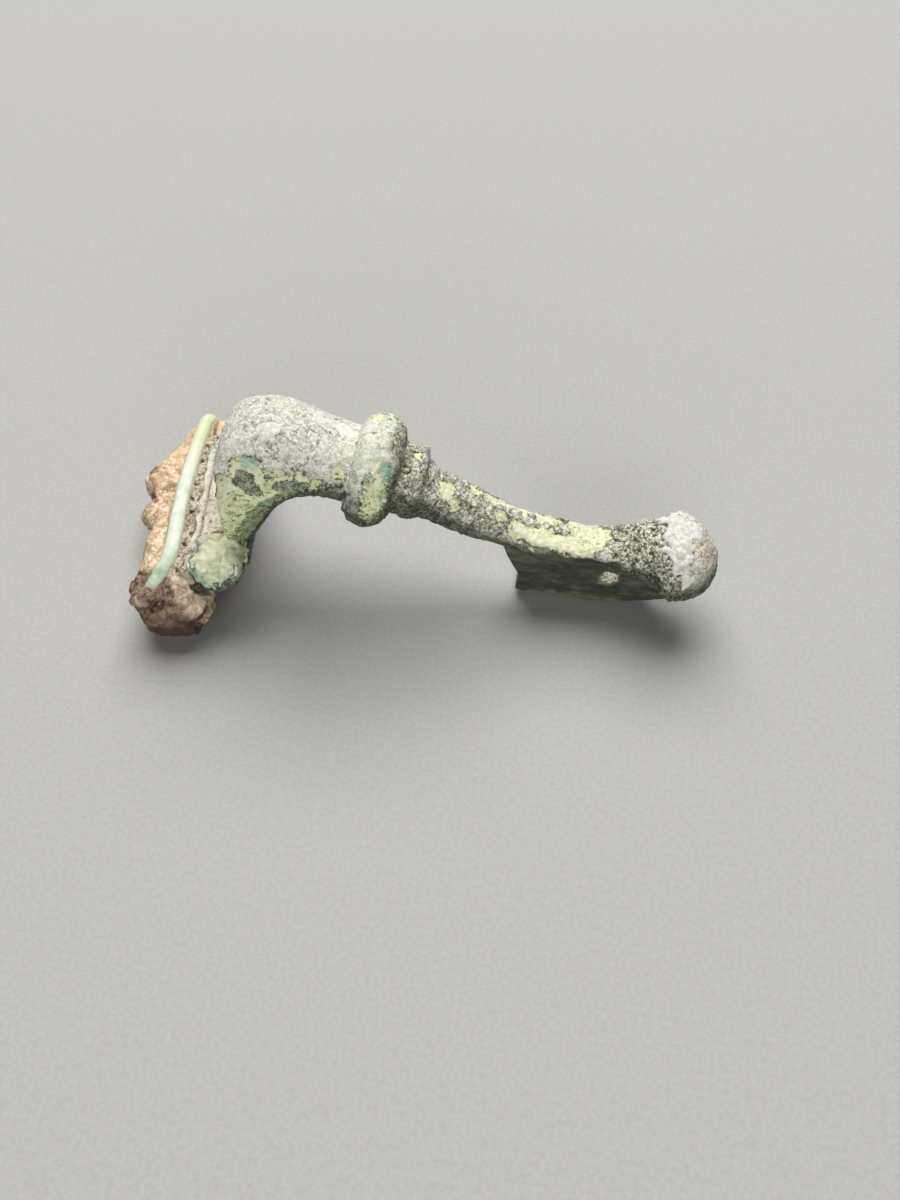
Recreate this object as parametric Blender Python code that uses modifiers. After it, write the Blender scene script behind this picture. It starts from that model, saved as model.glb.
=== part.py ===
"""A Roman bow brooch of cast copper alloy, worn and corroded, standing on its spring and its catchplate.

The bow is one casting: a crossbar, a trumpet head that swells up from it, a round waist, a collar, a thin
foot with the catchplate under it, and a knob turned up at its end. The spring beside the crossbar has rusted
into one lump, and its chord still lies along the top of it. The pin is lost.

X runs along the brooch from head to foot, Y runs across it, and Z is up from the surface it stands on. The
origin is the middle of the spot on which the catchplate stands.
"""

import math
from typing import NamedTuple

import bmesh
import bpy
from mathutils import Matrix, Vector, noise

MM = 0.001
NAME = "roman_bow_brooch"

# Fits
CLEARANCE = 0.33 * MM          # between two pieces that touch
BITE = 0.6 * MM                # how deep one cast form runs into the next
OVERCUT = 1.0 * MM             # how far a cutter runs past what it cuts
MERGE = 0.01 * MM              # points nearer than this are one

# Bow
BOW_LENGTH = 40.5 * MM         # from the head's mouth to the knob
MOUTH_TO_ORIGIN = 27.8 * MM    # from the head's mouth to the spot on which the catchplate stands
HEAD_WIDTH = 11.8 * MM         # across the widest part of the head
HEAD_SINK = 2.4 * MM           # how far the head runs down below the crossbar's top at its mouth
COLLAR_ALONG = 13.4 * MM       # from the head's mouth to the middle of the collar
COLLAR_DIAMETER = 10.1 * MM
COLLAR_THICKNESS = 3.9 * MM
COLLAR_LEAN = 13.0             # degrees by which the collar leans, its underside towards the head
RIB_ALONG = 16.8 * MM          # from the head's mouth to the lesser rib behind the collar
RIB_DIAMETER = 6.5 * MM
RIB_THICKNESS = 1.5 * MM
KNOB_DIAMETER = 8.0 * MM
KNOB_LENGTH = 4.9 * MM
KNOB_DROP = 0.5 * MM           # how far its middle lies below the middle of the foot
KNOB_LIFT = 23.0               # degrees by which the knob's axis is turned up
KNOB_SHOULDER = 1.0 * MM       # how far along the knob reaches its full width
KNOB_NECK = 6.4 * MM           # its width where it leaves the foot

# Crossbar
CROSSBAR_LENGTH = 18.2 * MM
CROSSBAR_DEPTH = 4.7 * MM
CROSSBAR_HEIGHT = 4.0 * MM
CROSSBAR_END = 4.9 * MM        # across the round boss at each end
CROSSBAR_END_HEIGHT = 4.5 * MM
CROSSBAR_ROUNDING = 1.5 * MM
CROSSBAR_STEP = 3.6 * MM       # how far the crossbar stands out in front of the head's mouth
CROSSBAR_SKEW = 6.0            # degrees by which the crossbar and spring are turned, near end towards the foot
CROSSBAR_SEAT = 0.68           # height of its underside, as a share of the spring's diameter
FLANGE_LENGTH = 9.4 * MM       # the thin edge under the back of the crossbar
FLANGE_THICKNESS = 0.8 * MM
FLANGE_DROP = 0.8 * MM
FLANGE_ROUNDING = 0.24 * MM

# Catchplate
CATCHPLATE_LENGTH = 14.6 * MM
CATCHPLATE_THICKNESS = 1.4 * MM
CATCHPLATE_RISE = 1.8 * MM     # how far its lower edge has risen at the knob
CATCHPLATE_BACK = 5.0 * MM     # height at which its back edge meets the knob
CATCH_CHANNEL = 1.5 * MM       # clear width of the fold that held the pin
CATCH_WEB = 1.1 * MM           # thickness of the fold's underside and free edge
CATCH_LIP = 2.8 * MM           # height of the fold's free edge
CATCH_ROUNDING = 0.4 * MM      # round of the fold's outer corners
CATCH_NOSE = 1.3 * MM          # from the catchplate's front corner back to the origin
CATCH_NOSE_LIFT = 0.6 * MM     # how far that corner is worn up
CATCHPLATE_SWEEP = 2.4 * MM    # how far its front edge leans forward at the top
CATCHPLATE_FRONT = ((0.40, 0.56), (-0.14, 0.26))  # its front edge, as shares of that sweep and of its height
REST_LENGTH = 5.0 * MM         # the worn spot on which it stands
HOLE_DIAMETER = 1.4 * MM
HOLE_ALONG = 7.6 * MM
HOLE_HEIGHT = 4.0 * MM

# Spring
SPRING_LENGTH = 24.2 * MM
SPRING_OFFSET = 0.4 * MM       # from the middle of the crossbar to the middle of the spring
SPRING_DIAMETER = 7.3 * MM
SPRING_ROUGHNESS = 0.35 * MM   # how far its surface stands out or sinks in
SPRING_GRAIN = 1.4 * MM        # the size of its bumps
COIL_NEAR = 0.88               # the coil under the lumps at its near end, as a share of the spring's diameter
COIL_FAR = 0.72                # and at its far end
NEAR_END_WIDTH = 7.8 * MM      # the rusted lump at the near end, along X
NEAR_END_LENGTH = 6.4 * MM     # and along Y
SPRING_SINK = 1.1 * MM         # how far the spring's round runs in behind the crossbar
SPRING_FLAT = 0.25 * MM        # how much is worn off under the spring
CHORD_DIAMETER = 1.45 * MM
CHORD_SINK = 0.35 * MM         # how far below the spring's top line the chord's underside lies

# Faceting
RING_SIDES = 24
RINGS_PER_STATION = 3
TURNED_SIDES = 28
ARC_STEPS = 8
EDGE_STEPS = 6
BEVEL_SEGMENTS = 4
LUMP_SIDES = 20
LUMP_RINGS = 12
COIL_SIDES = 24
RUST_VOXEL = 0.74 * MM


class Station(NamedTuple):
    """A cross-section of the bow: its top and its underside in the side view, its width and its squareness.

    The drawing has a scale of its own: its length is brought to the bow's length and its greatest width to the
    head's width. Distances are along from the mouth of the head and up. A squareness of 2 is an ellipse.
    """

    top_along: float
    top_up: float
    low_along: float
    low_up: float
    width: float
    squareness: float


BOW_STATIONS = (
    Station(-0.1, 16.6, 0.4, 6.8, 10.8, 2.2),
    Station(0.0, 18.0, 1.3, 5.7, 11.8, 2.2),
    Station(1.0, 19.7, 2.6, 7.5, 11.2, 2.1),
    Station(2.8, 20.8, 4.3, 10.3, 10.0, 2.0),
    Station(5.0, 20.9, 6.2, 12.3, 9.0, 2.0),
    Station(7.2, 20.3, 8.2, 13.2, 8.0, 2.0),
    Station(9.8, 19.4, 10.3, 13.0, 7.2, 2.0),
    Station(12.8, 18.6, 12.9, 12.2, 7.1, 2.0),
    Station(16.0, 17.7, 15.8, 11.5, 6.5, 2.0),
    Station(17.9, 16.4, 17.1, 11.3, 5.6, 2.0),
    Station(19.3, 14.9, 18.0, 10.8, 4.6, 2.0),
    Station(23.0, 12.9, 21.6, 9.1, 4.3, 2.1),
    Station(26.2, 11.1, 25.3, 7.9, 4.1, 2.4),
    Station(30.0, 9.6, 29.6, 7.1, 4.1, 3.0),
    Station(34.2, 9.4, 34.4, 6.8, 3.9, 3.0),
    Station(36.8, 9.9, 37.0, 6.2, 4.6, 2.6),
    Station(38.2, 10.7, 39.0, 5.2, 5.4, 2.2),
    Station(39.8, 10.8, 41.2, 4.6, 6.4, 2.0),
)


class Lump(NamedTuple):
    """A lump of rust: its middle out towards the crossbar, along the spring and up, and its three half sizes.

    The place along is a share of half the spring's length; all the others are shares of its radius.
    """

    out: float
    along: float
    up: float
    wide: float
    long: float
    high: float


RUST_LUMPS = (
    Lump(0.35, 0.79, 0.00, 0.80, 0.70, 1.00),
    Lump(0.70, 0.00, 0.00, 0.80, 2.39, 0.60),
    Lump(-0.68, 0.40, 0.15, 0.44, 0.44, 0.44),
    Lump(-0.70, 0.08, 0.10, 0.44, 0.44, 0.44),
    Lump(-0.16, 0.56, 0.40, 0.50, 0.50, 0.50),
    Lump(-0.35, -0.30, 0.35, 0.46, 0.46, 0.46),
    Lump(1.00, 0.84, 0.42, 0.62, 0.62, 0.62),
)


class RoutePoint(NamedTuple):
    """A point of the chord's centre line: out towards the crossbar, along the spring, and down from its top run.

    They are shares of the spring's radius, of half its length and of the chord's diameter.
    """

    out: float
    along: float
    down: float


CHORD_ROUTE = (
    RoutePoint(0.46, 0.93, 1.40),
    RoutePoint(0.41, 0.89, 0.50),
    RoutePoint(0.34, 0.81, 0.00),
    RoutePoint(0.19, 0.36, 0.00),
    RoutePoint(0.14, 0.00, 0.00),
    RoutePoint(0.17, -0.34, 0.00),
    RoutePoint(0.17, -0.50, 0.00),
    RoutePoint(0.07, -0.62, 0.25),
    RoutePoint(-0.10, -0.72, 0.60),
    RoutePoint(-0.29, -0.80, 1.20),
)

# Levels and places that follow from the sizes above
DRAWING_SCALE = BOW_LENGTH / ((BOW_STATIONS[-1].top_along + BOW_STATIONS[-1].low_along) / 2)
WIDTH_SCALE = HEAD_WIDTH / max(station.width for station in BOW_STATIONS)
MOUTH_X = -MOUTH_TO_ORIGIN
SPRING_RADIUS = SPRING_DIAMETER / 2
SPRING_AXIS_Z = SPRING_RADIUS - SPRING_FLAT
CROSSBAR_FRONT_X = MOUTH_X - CROSSBAR_STEP
CROSSBAR_BACK_X = CROSSBAR_FRONT_X + CROSSBAR_DEPTH
CROSSBAR_MIDDLE_X = (CROSSBAR_FRONT_X + CROSSBAR_BACK_X) / 2
CROSSBAR_LOW_Z = SPRING_DIAMETER * CROSSBAR_SEAT
CROSSBAR_TOP_Z = CROSSBAR_LOW_Z + CROSSBAR_HEIGHT
HEAD_LOW_Z = CROSSBAR_TOP_Z - HEAD_SINK
SPRING_AXIS_X = CROSSBAR_FRONT_X - SPRING_RADIUS + SPRING_SINK


def clear_scene():
    """Empty the scene of whatever objects it starts with."""
    for found in list(bpy.data.objects):
        bpy.data.objects.remove(found, do_unlink=True)


def new_collection(name):
    collection = bpy.data.collections.new(name)
    bpy.context.scene.collection.children.link(collection)
    return collection


def metal(name, colour, roughness, metallic):
    """A plain material in the colour that the piece has under its dirt."""
    material = bpy.data.materials.new(name)
    material.use_nodes = True
    shader = material.node_tree.nodes["Principled BSDF"]
    shader.inputs["Base Color"].default_value = (*colour, 1.0)
    shader.inputs["Roughness"].default_value = roughness
    shader.inputs["Metallic"].default_value = metallic
    return material


def skewed(thing):
    """Turn a piece of the crossbar or spring with them, about the middle of the crossbar."""
    pivot = Vector((CROSSBAR_MIDDLE_X, 0.0, 0.0))
    turn = Matrix.Rotation(math.radians(CROSSBAR_SKEW), 4, "Z")
    thing.matrix_world = Matrix.Translation(pivot) @ turn @ Matrix.Translation(-pivot) @ thing.matrix_world
    return thing


def add_object(name, data, collection):
    made = bpy.data.objects.new(name, data)
    collection.objects.link(made)
    return made


def add_mesh(name, shape, collection):
    """An object from a bmesh, which is freed."""
    bmesh.ops.recalc_face_normals(shape, faces=shape.faces)
    mesh = bpy.data.meshes.new(name)
    shape.to_mesh(mesh)
    shape.free()
    return add_object(name, mesh, collection)


def evaluated_copy(source, name, collection):
    """The object as its modifiers leave it, as a plain mesh in its own place; the source is removed."""
    bpy.context.view_layer.update()
    graph = bpy.context.evaluated_depsgraph_get()
    mesh = bpy.data.meshes.new_from_object(source.evaluated_get(graph))
    shape = bmesh.new()
    shape.from_mesh(mesh)
    bpy.data.meshes.remove(mesh)
    bmesh.ops.remove_doubles(shape, verts=shape.verts, dist=MERGE)
    shape.transform(source.matrix_world)
    bpy.data.objects.remove(source, do_unlink=True)
    return add_mesh(name, shape, collection)


def boolean(target, other, operation):
    """Join, cut or trim the target with the other object, which stays as a guide."""
    modifier = target.modifiers.new(other.name, "BOOLEAN")
    modifier.operation = operation
    modifier.solver = "EXACT"
    modifier.object = other
    other.hide_render = True
    other.display_type = "WIRE"


def block(name, low, high, collection, rounding=0.0):
    """A box between two corners, its edges rounded if asked."""
    low = Vector(low)
    high = Vector(high)
    shape = bmesh.new()
    bmesh.ops.create_cube(shape, size=1.0)
    size = high - low
    bmesh.ops.scale(shape, vec=size, verts=shape.verts)
    bmesh.ops.translate(shape, vec=(low + high) / 2, verts=shape.verts)
    made = add_mesh(name, shape, collection)
    if rounding:
        bevel = made.modifiers.new("Rounded edges", "BEVEL")
        bevel.width = rounding
        bevel.segments = BEVEL_SEGMENTS
    return made


def turned(name, profile, centre, lift, collection):
    """A round form turned from a profile of (along, radius) pairs, its axis lifted from +X by an angle."""
    shape = bmesh.new()
    line = [shape.verts.new((radius, 0.0, along)) for along, radius in reversed(profile)]
    for first, second in zip(line, line[1:]):
        shape.edges.new((first, second))
    mesh = bpy.data.meshes.new(name)
    shape.to_mesh(mesh)
    shape.free()
    made = add_object(name, mesh, collection)
    screw = made.modifiers.new("Turned", "SCREW")
    screw.axis = "Z"
    screw.steps = TURNED_SIDES
    screw.render_steps = TURNED_SIDES
    screw.use_merge_vertices = True
    screw.merge_threshold = MERGE
    made.matrix_world = Matrix.Translation(centre) @ Matrix.Rotation(math.pi / 2 - lift, 4, "Y")
    return made


def flat_outline(name, points, thickness, collection):
    """A flat outline in the object's own XY plane, with half its thickness on each side."""
    curve = bpy.data.curves.new(name, "CURVE")
    curve.dimensions = "2D"
    curve.fill_mode = "BOTH"
    curve.extrude = thickness / 2
    spline = curve.splines.new("POLY")
    spline.points.add(len(points) - 1)
    for spot, (across, up) in zip(spline.points, points):
        spot.co = (across, up, 0.0, 1.0)
    spline.use_cyclic_u = True
    return add_object(name, curve, collection)


def arc(centre, radius, start, end, steps):
    """Points on an arc, by angles in degrees."""
    angles = [math.radians(start + (end - start) * step / steps) for step in range(steps + 1)]
    return [(centre[0] + radius * math.cos(angle), centre[1] + radius * math.sin(angle)) for angle in angles]


def smooth_between(before, start, end, after, share):
    """A value on the smooth curve through four neighbouring ones, between the middle two."""
    square = share * share
    cube = square * share
    return 0.5 * (
        2 * start
        + (end - before) * share
        + (2 * before - 5 * start + 4 * end - after) * square
        + (3 * start - before - 3 * end + after) * cube
    )


def bow_sections():
    """The bow's cross-sections in the model: top, underside, half width and squareness of each."""
    sections = []
    last = len(BOW_STATIONS) - 1
    for index in range(last):
        neighbours = [BOW_STATIONS[min(max(index + offset, 0), last)] for offset in (-1, 0, 1, 2)]
        steps = RINGS_PER_STATION if index < last - 1 else RINGS_PER_STATION + 1
        for step in range(steps):
            share = step / RINGS_PER_STATION
            drawn = Station(*(smooth_between(*values, share) for values in zip(*neighbours)))
            top = drawing_point(drawn.top_along, drawn.top_up)
            low = drawing_point(drawn.low_along, drawn.low_up)
            sections.append((top, low, drawn.width * WIDTH_SCALE / 2, drawn.squareness))
    return sections


def drawing_point(along, up):
    """A point of the bow's drawing as a point of the model, in the plane of the bow."""
    x = MOUTH_X + along * DRAWING_SCALE
    z = HEAD_LOW_Z + (up - BOW_STATIONS[0].low_up) * DRAWING_SCALE
    return Vector((x, 0.0, z))


def axis_at(sections, x):
    """The middle of the bow at a given x."""
    middles = [(top + low) / 2 for top, low, _, _ in sections]
    for first, second in zip(middles, middles[1:]):
        if first.x <= x <= second.x:
            return first.lerp(second, (x - first.x) / (second.x - first.x))
    return middles[-1]


def bow_body(sections, collection):
    """The bow's bar, lofted from the mouth of the head to the neck of the knob."""
    shape = bmesh.new()
    rings = []
    for top, low, half_width, squareness in sections:
        middle = (top + low) / 2
        half_height = (top - low) / 2
        ring = []
        for side in range(RING_SIDES):
            angle = 2 * math.pi * side / RING_SIDES
            across = math.copysign(abs(math.cos(angle)) ** (2 / squareness), math.cos(angle))
            up = math.copysign(abs(math.sin(angle)) ** (2 / squareness), math.sin(angle))
            ring.append(shape.verts.new(middle + half_height * up + Vector((0.0, half_width * across, 0.0))))
        rings.append(ring)
    for ring, following in zip(rings, rings[1:]):
        for side in range(RING_SIDES):
            beside = (side + 1) % RING_SIDES
            shape.faces.new((ring[side], ring[beside], following[beside], following[side]))
    shape.faces.new(rings[0])
    shape.faces.new(rings[-1])
    return add_mesh("bow_with_catchplate", shape, collection)


def round_ring_profile(thickness, radius, core):
    """The profile of a ring with a full round edge, from inside the core on one side to the other."""
    half = thickness / 2
    edge = arc((0.0, radius - half), half, 180, 0, ARC_STEPS)
    return [(-half, 0.0), (-half, core)] + edge + [(half, core), (half, 0.0)]


def add_collar(bow, sections, guides):
    """The collar round the middle of the bow, and the lesser rib behind it."""
    for name, along, diameter, thickness in (
        ("Collar", COLLAR_ALONG, COLLAR_DIAMETER, COLLAR_THICKNESS),
        ("Rib", RIB_ALONG, RIB_DIAMETER, RIB_THICKNESS),
    ):
        centre = axis_at(sections, MOUTH_X + along)
        profile = round_ring_profile(thickness, diameter / 2, diameter / 2 - thickness / 2 - BITE)
        ring = turned(name, profile, centre, -math.radians(COLLAR_LEAN), guides)
        boolean(bow, ring, "UNION")


def add_knob(bow, sections, guides):
    """The knob at the end of the foot, turned up."""
    radius = KNOB_DIAMETER / 2
    neck = KNOB_NECK / 2
    profile = [(0.0, 0.0)]
    for along, out in arc((1.0, 0.0), 1.0, 180, 90, ARC_STEPS // 2)[:-1]:
        profile.append((KNOB_SHOULDER * along, neck + (radius - neck) * out))
    for along, out in arc((0.0, 0.0), 1.0, 90, 0, ARC_STEPS):
        profile.append((KNOB_SHOULDER + (KNOB_LENGTH - KNOB_SHOULDER) * along, radius * out))
    centre = axis_at(sections, MOUTH_X + BOW_LENGTH) - Vector((BITE, 0.0, KNOB_DROP))
    knob = turned("Knob", profile, centre, math.radians(KNOB_LIFT), guides)
    boolean(bow, knob, "UNION")


def add_crossbar(bow, guides):
    """The crossbar under the head's mouth, and the thin edge under its back."""
    boss = CROSSBAR_END / 2
    half = CROSSBAR_LENGTH / 2
    reach = half - boss + BITE
    low = (CROSSBAR_FRONT_X, -reach, CROSSBAR_LOW_Z)
    high = (CROSSBAR_BACK_X, reach, CROSSBAR_TOP_Z)
    boolean(bow, skewed(block("Crossbar", low, high, guides, CROSSBAR_ROUNDING)), "UNION")
    for name, side in (("Near boss", -1), ("Far boss", 1)):
        shape = bmesh.new()
        centre = (CROSSBAR_MIDDLE_X, side * (half - boss), (CROSSBAR_LOW_Z + CROSSBAR_TOP_Z) / 2)
        add_lump(shape, centre, Vector((boss, boss, CROSSBAR_END_HEIGHT / 2)))
        boolean(bow, skewed(add_mesh(name, shape, guides)), "UNION")
    half = FLANGE_LENGTH / 2
    low = (CROSSBAR_BACK_X - FLANGE_THICKNESS, -half, CROSSBAR_LOW_Z - FLANGE_DROP)
    high = (CROSSBAR_BACK_X, half, CROSSBAR_LOW_Z + CROSSBAR_HEIGHT / 2)
    boolean(bow, skewed(block("Crossbar edge", low, high, guides, FLANGE_ROUNDING)), "UNION")


def catchplate_outline(sections):
    """The catchplate in the side view, its top edge inside the foot."""
    front = -CATCH_NOSE
    back = front + CATCHPLATE_LENGTH
    rest_end = REST_LENGTH - CATCH_NOSE / 2
    outline = [(front, CATCH_NOSE_LIFT), (front + CATCH_NOSE / 2, 0.0)]
    for step in range(EDGE_STEPS + 1):
        share = step / EDGE_STEPS
        outline.append((rest_end + (back - rest_end) * share, CATCHPLATE_RISE * share**2))
    outline.append((back + BITE, CATCHPLATE_BACK))
    top_front = axis_at(sections, front - CATCHPLATE_SWEEP)
    for step in range(EDGE_STEPS + 1):
        x = back - (back - top_front.x) * step / EDGE_STEPS
        outline.append((x, axis_at(sections, x).z))
    for forward, up in CATCHPLATE_FRONT:
        outline.append((front - CATCHPLATE_SWEEP * forward, top_front.z * up))
    return outline


def catchplate_profile(height):
    """The catchplate seen from the end: a plate whose lower edge is folded up on the far side."""
    half = CATCHPLATE_THICKNESS / 2
    far = half + CATCH_CHANNEL + CATCH_WEB
    corner = CATCH_ROUNDING
    inner = CATCH_CHANNEL / 2
    edge = CATCH_WEB / 2
    points = [(-half, height)]
    points += arc((corner - half, corner), corner, 180, 270, EDGE_STEPS // 2)
    points += arc((far - corner, corner), corner, 270, 360, EDGE_STEPS // 2)
    points += arc((far - edge, CATCH_LIP - edge), edge, 0, 180, EDGE_STEPS)
    points += arc((half + inner, CATCH_WEB + inner), inner, 360, 180, EDGE_STEPS)
    points.append((half, height))
    return points


def add_catchplate(bow, sections, guides):
    """The catchplate under the foot, its fold for the lost pin, and the small hole through it."""
    outline = catchplate_outline(sections)
    height = max(up for _, up in outline)
    length = CATCHPLATE_LENGTH + 2 * CATCHPLATE_SWEEP + 2 * OVERCUT
    plate = flat_outline("Catchplate fold", catchplate_profile(height), length, guides)
    turn = Matrix.Rotation(math.pi / 2, 4, "Z") @ Matrix.Rotation(math.pi / 2, 4, "X")
    middle_x = CATCHPLATE_LENGTH / 2 - CATCH_NOSE
    plate.matrix_world = Matrix.Translation((middle_x, 0.0, 0.0)) @ turn
    plate = evaluated_copy(plate, "Catchplate", guides)
    span = 2 * (CATCHPLATE_THICKNESS + CATCH_CHANNEL + CATCH_WEB + OVERCUT)
    side = flat_outline("Catchplate side", outline, span, guides)
    side.matrix_world = Matrix.Rotation(math.pi / 2, 4, "X")
    side = evaluated_copy(side, "Catchplate outline", guides)
    boolean(plate, side, "INTERSECT")
    boolean(bow, plate, "UNION")
    half = CATCHPLATE_THICKNESS / 2 + OVERCUT / 2
    profile = [(-half, 0.0), (-half, HOLE_DIAMETER / 2), (half, HOLE_DIAMETER / 2), (half, 0.0)]
    hole = turned("Catchplate hole", profile, Vector((0.0, 0.0, 0.0)), 0.0, guides)
    place = Matrix.Translation((HOLE_ALONG, 0.0, HOLE_HEIGHT))
    hole.matrix_world = place @ Matrix.Rotation(math.pi / 2, 4, "Z") @ hole.matrix_world
    boolean(bow, hole, "DIFFERENCE")


def chord_route():
    """The chord's centre line, from its far end to its near end, where it bends down into the rust."""
    height = SPRING_DIAMETER - SPRING_FLAT - CHORD_SINK + CHORD_DIAMETER / 2
    points = []
    for out, along, down in CHORD_ROUTE:
        x = SPRING_AXIS_X + out * SPRING_RADIUS
        y = SPRING_OFFSET + along * SPRING_LENGTH / 2
        points.append(Vector((x, y, height - down * CHORD_DIAMETER)))
    route = [points[0]]
    last = len(points) - 1
    for index in range(last):
        neighbours = [points[min(max(index + offset, 0), last)] for offset in (-1, 0, 1, 2)]
        for share in (0.5, 1.0):
            route.append(Vector(smooth_between(*values, share) for values in zip(*neighbours)))
    return route


def run_on(route, extra):
    """The route, run straight on past both its ends."""
    first = route[0] + (route[0] - route[1]).normalized() * extra
    last = route[-1] + (route[-1] - route[-2]).normalized() * extra
    return [first, *route, last]


def wire(name, route, radius, collection):
    """A round wire along a route, as a closed mesh."""
    curve = bpy.data.curves.new(name, "CURVE")
    curve.dimensions = "3D"
    curve.bevel_depth = radius
    curve.bevel_resolution = 2
    curve.use_fill_caps = True
    spline = curve.splines.new("POLY")
    spline.points.add(len(route) - 1)
    for spot, place in zip(spline.points, route):
        spot.co = (*place, 1.0)
    return evaluated_copy(add_object(name + " curve", curve, collection), name, collection)


def add_lump(shape, centre, radii):
    """Add a rounded lump to a shape."""
    made = bmesh.ops.create_uvsphere(shape, u_segments=LUMP_SIDES, v_segments=LUMP_RINGS, radius=1.0)
    bmesh.ops.scale(shape, vec=radii, verts=made["verts"])
    bmesh.ops.translate(shape, vec=centre, verts=made["verts"])


def rusted_spring(collection, guides):
    """The spring, its axis and the rust that has swallowed them, as one lumpy mass."""
    shape = bmesh.new()
    half = SPRING_LENGTH / 2
    near_radii = Vector((NEAR_END_WIDTH / 2, NEAR_END_LENGTH / 2, SPRING_RADIUS))
    coil_start = SPRING_OFFSET - half + near_radii.y
    coil_end = SPRING_OFFSET + half - SPRING_RADIUS
    coil = bmesh.ops.create_cone(
        shape,
        cap_ends=True,
        segments=COIL_SIDES,
        radius1=SPRING_RADIUS * COIL_FAR,
        radius2=SPRING_RADIUS * COIL_NEAR,
        depth=coil_end - coil_start,
    )
    turn = Matrix.Rotation(math.pi / 2, 4, "X")
    place = Matrix.Translation((SPRING_AXIS_X, (coil_start + coil_end) / 2, SPRING_AXIS_Z))
    bmesh.ops.transform(shape, matrix=place @ turn, verts=coil["verts"])
    near_x = SPRING_AXIS_X + near_radii.x - COIL_NEAR * SPRING_RADIUS
    add_lump(shape, (near_x, coil_start, SPRING_AXIS_Z), near_radii)
    for grown in RUST_LUMPS:
        centre = Vector((SPRING_AXIS_X, SPRING_OFFSET, SPRING_AXIS_Z))
        centre += Vector((grown.out * SPRING_RADIUS, grown.along * half, grown.up * SPRING_RADIUS))
        add_lump(shape, centre, Vector((grown.wide, grown.long, grown.high)) * SPRING_RADIUS)
    rough = add_mesh("Rust lumps", shape, guides)
    remesh = rough.modifiers.new("One skin", "REMESH")
    remesh.mode = "VOXEL"
    remesh.voxel_size = RUST_VOXEL
    rust = evaluated_copy(rough, "rusted_spring", collection)
    for vertex in rust.data.vertices:
        grain = noise.fractal(vertex.co / SPRING_GRAIN, 1.0, 2.0, 2)
        out = Vector((vertex.co.x - SPRING_AXIS_X, 0.0, vertex.co.z - SPRING_AXIS_Z)).normalized()
        vertex.co += out * grain * SPRING_ROUGHNESS
    return rust


def trim_rust(rust, guides):
    """Flatten the rust where it stands, and clear it off the crossbar and the chord."""
    reach = SPRING_LENGTH
    low = (SPRING_AXIS_X - reach, -reach, -SPRING_RADIUS)
    high = (SPRING_AXIS_X + reach, reach, 0.0)
    boolean(rust, block("Below the surface", low, high, guides), "DIFFERENCE")
    half = CROSSBAR_LENGTH / 2 + CLEARANCE
    low = (CROSSBAR_FRONT_X - CLEARANCE, -half, CROSSBAR_LOW_Z - CLEARANCE)
    high = (CROSSBAR_BACK_X + SPRING_RADIUS, half, CROSSBAR_TOP_Z + CLEARANCE)
    boolean(rust, skewed(block("Room for the crossbar", low, high, guides, CROSSBAR_ROUNDING)), "DIFFERENCE")
    half = FLANGE_LENGTH / 2 + CLEARANCE
    low = (CROSSBAR_BACK_X - FLANGE_THICKNESS - CLEARANCE, -half, CROSSBAR_LOW_Z - FLANGE_DROP - CLEARANCE)
    high = (CROSSBAR_BACK_X + SPRING_RADIUS, half, CROSSBAR_TOP_Z)
    boolean(rust, skewed(block("Room for the crossbar's edge", low, high, guides)), "DIFFERENCE")
    route = run_on(chord_route(), CLEARANCE)
    groove = wire("Room for the chord", route, CHORD_DIAMETER / 2 + CLEARANCE, guides)
    boolean(rust, skewed(groove), "DIFFERENCE")


def build():
    clear_scene()
    parts = new_collection(NAME)
    guides = new_collection("guides")
    sections = bow_sections()

    bow = bow_body(sections, parts)
    add_crossbar(bow, guides)
    add_collar(bow, sections, guides)
    add_knob(bow, sections, guides)
    add_catchplate(bow, sections, guides)
    bow.data.materials.append(metal("Corroded bronze", (0.33, 0.33, 0.26), 0.8, 0.1))

    chord = skewed(wire("spring_chord", chord_route(), CHORD_DIAMETER / 2, parts))
    chord.data.materials.append(metal("Pale green bronze", (0.62, 0.74, 0.58), 0.6, 0.1))

    rust = skewed(rusted_spring(parts, guides))
    trim_rust(rust, guides)
    rust.data.materials.append(metal("Iron rust", (0.40, 0.20, 0.10), 0.9, 0.0))


build()
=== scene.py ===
"""A Roman bow brooch of corroded bronze, its spring seized in rust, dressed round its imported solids."""

import math

import bmesh
import bpy
import numpy as np
from mathutils import Matrix, Vector


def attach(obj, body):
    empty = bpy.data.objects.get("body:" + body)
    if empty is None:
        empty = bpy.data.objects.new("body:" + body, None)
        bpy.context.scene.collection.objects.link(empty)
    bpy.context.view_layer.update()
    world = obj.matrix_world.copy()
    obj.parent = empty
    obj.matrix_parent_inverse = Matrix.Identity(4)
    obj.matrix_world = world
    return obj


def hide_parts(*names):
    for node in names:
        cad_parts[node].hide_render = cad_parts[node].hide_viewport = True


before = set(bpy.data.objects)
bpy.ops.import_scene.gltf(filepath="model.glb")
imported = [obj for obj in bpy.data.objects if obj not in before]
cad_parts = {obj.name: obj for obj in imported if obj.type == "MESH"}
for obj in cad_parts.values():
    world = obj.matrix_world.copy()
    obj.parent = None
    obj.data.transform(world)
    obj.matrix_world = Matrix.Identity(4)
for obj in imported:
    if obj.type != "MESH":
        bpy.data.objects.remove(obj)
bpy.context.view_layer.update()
scene = bpy.context.scene
scene.view_settings.view_transform = "Standard"

# The view
# The brooch was photographed from close above its near side, looking down at 55 degrees, its head to the
# left. The lens takes in a little more than the brooch.
MM = 0.001
VIEW_ELEVATION = math.radians(55.0)
VIEW_AZIMUTH = math.radians(8.7)
VIEW_DISTANCE = 116.5 * MM
VIEW_CENTRE = Vector((-7.29, -2.56, 0.0)) * MM

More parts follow.
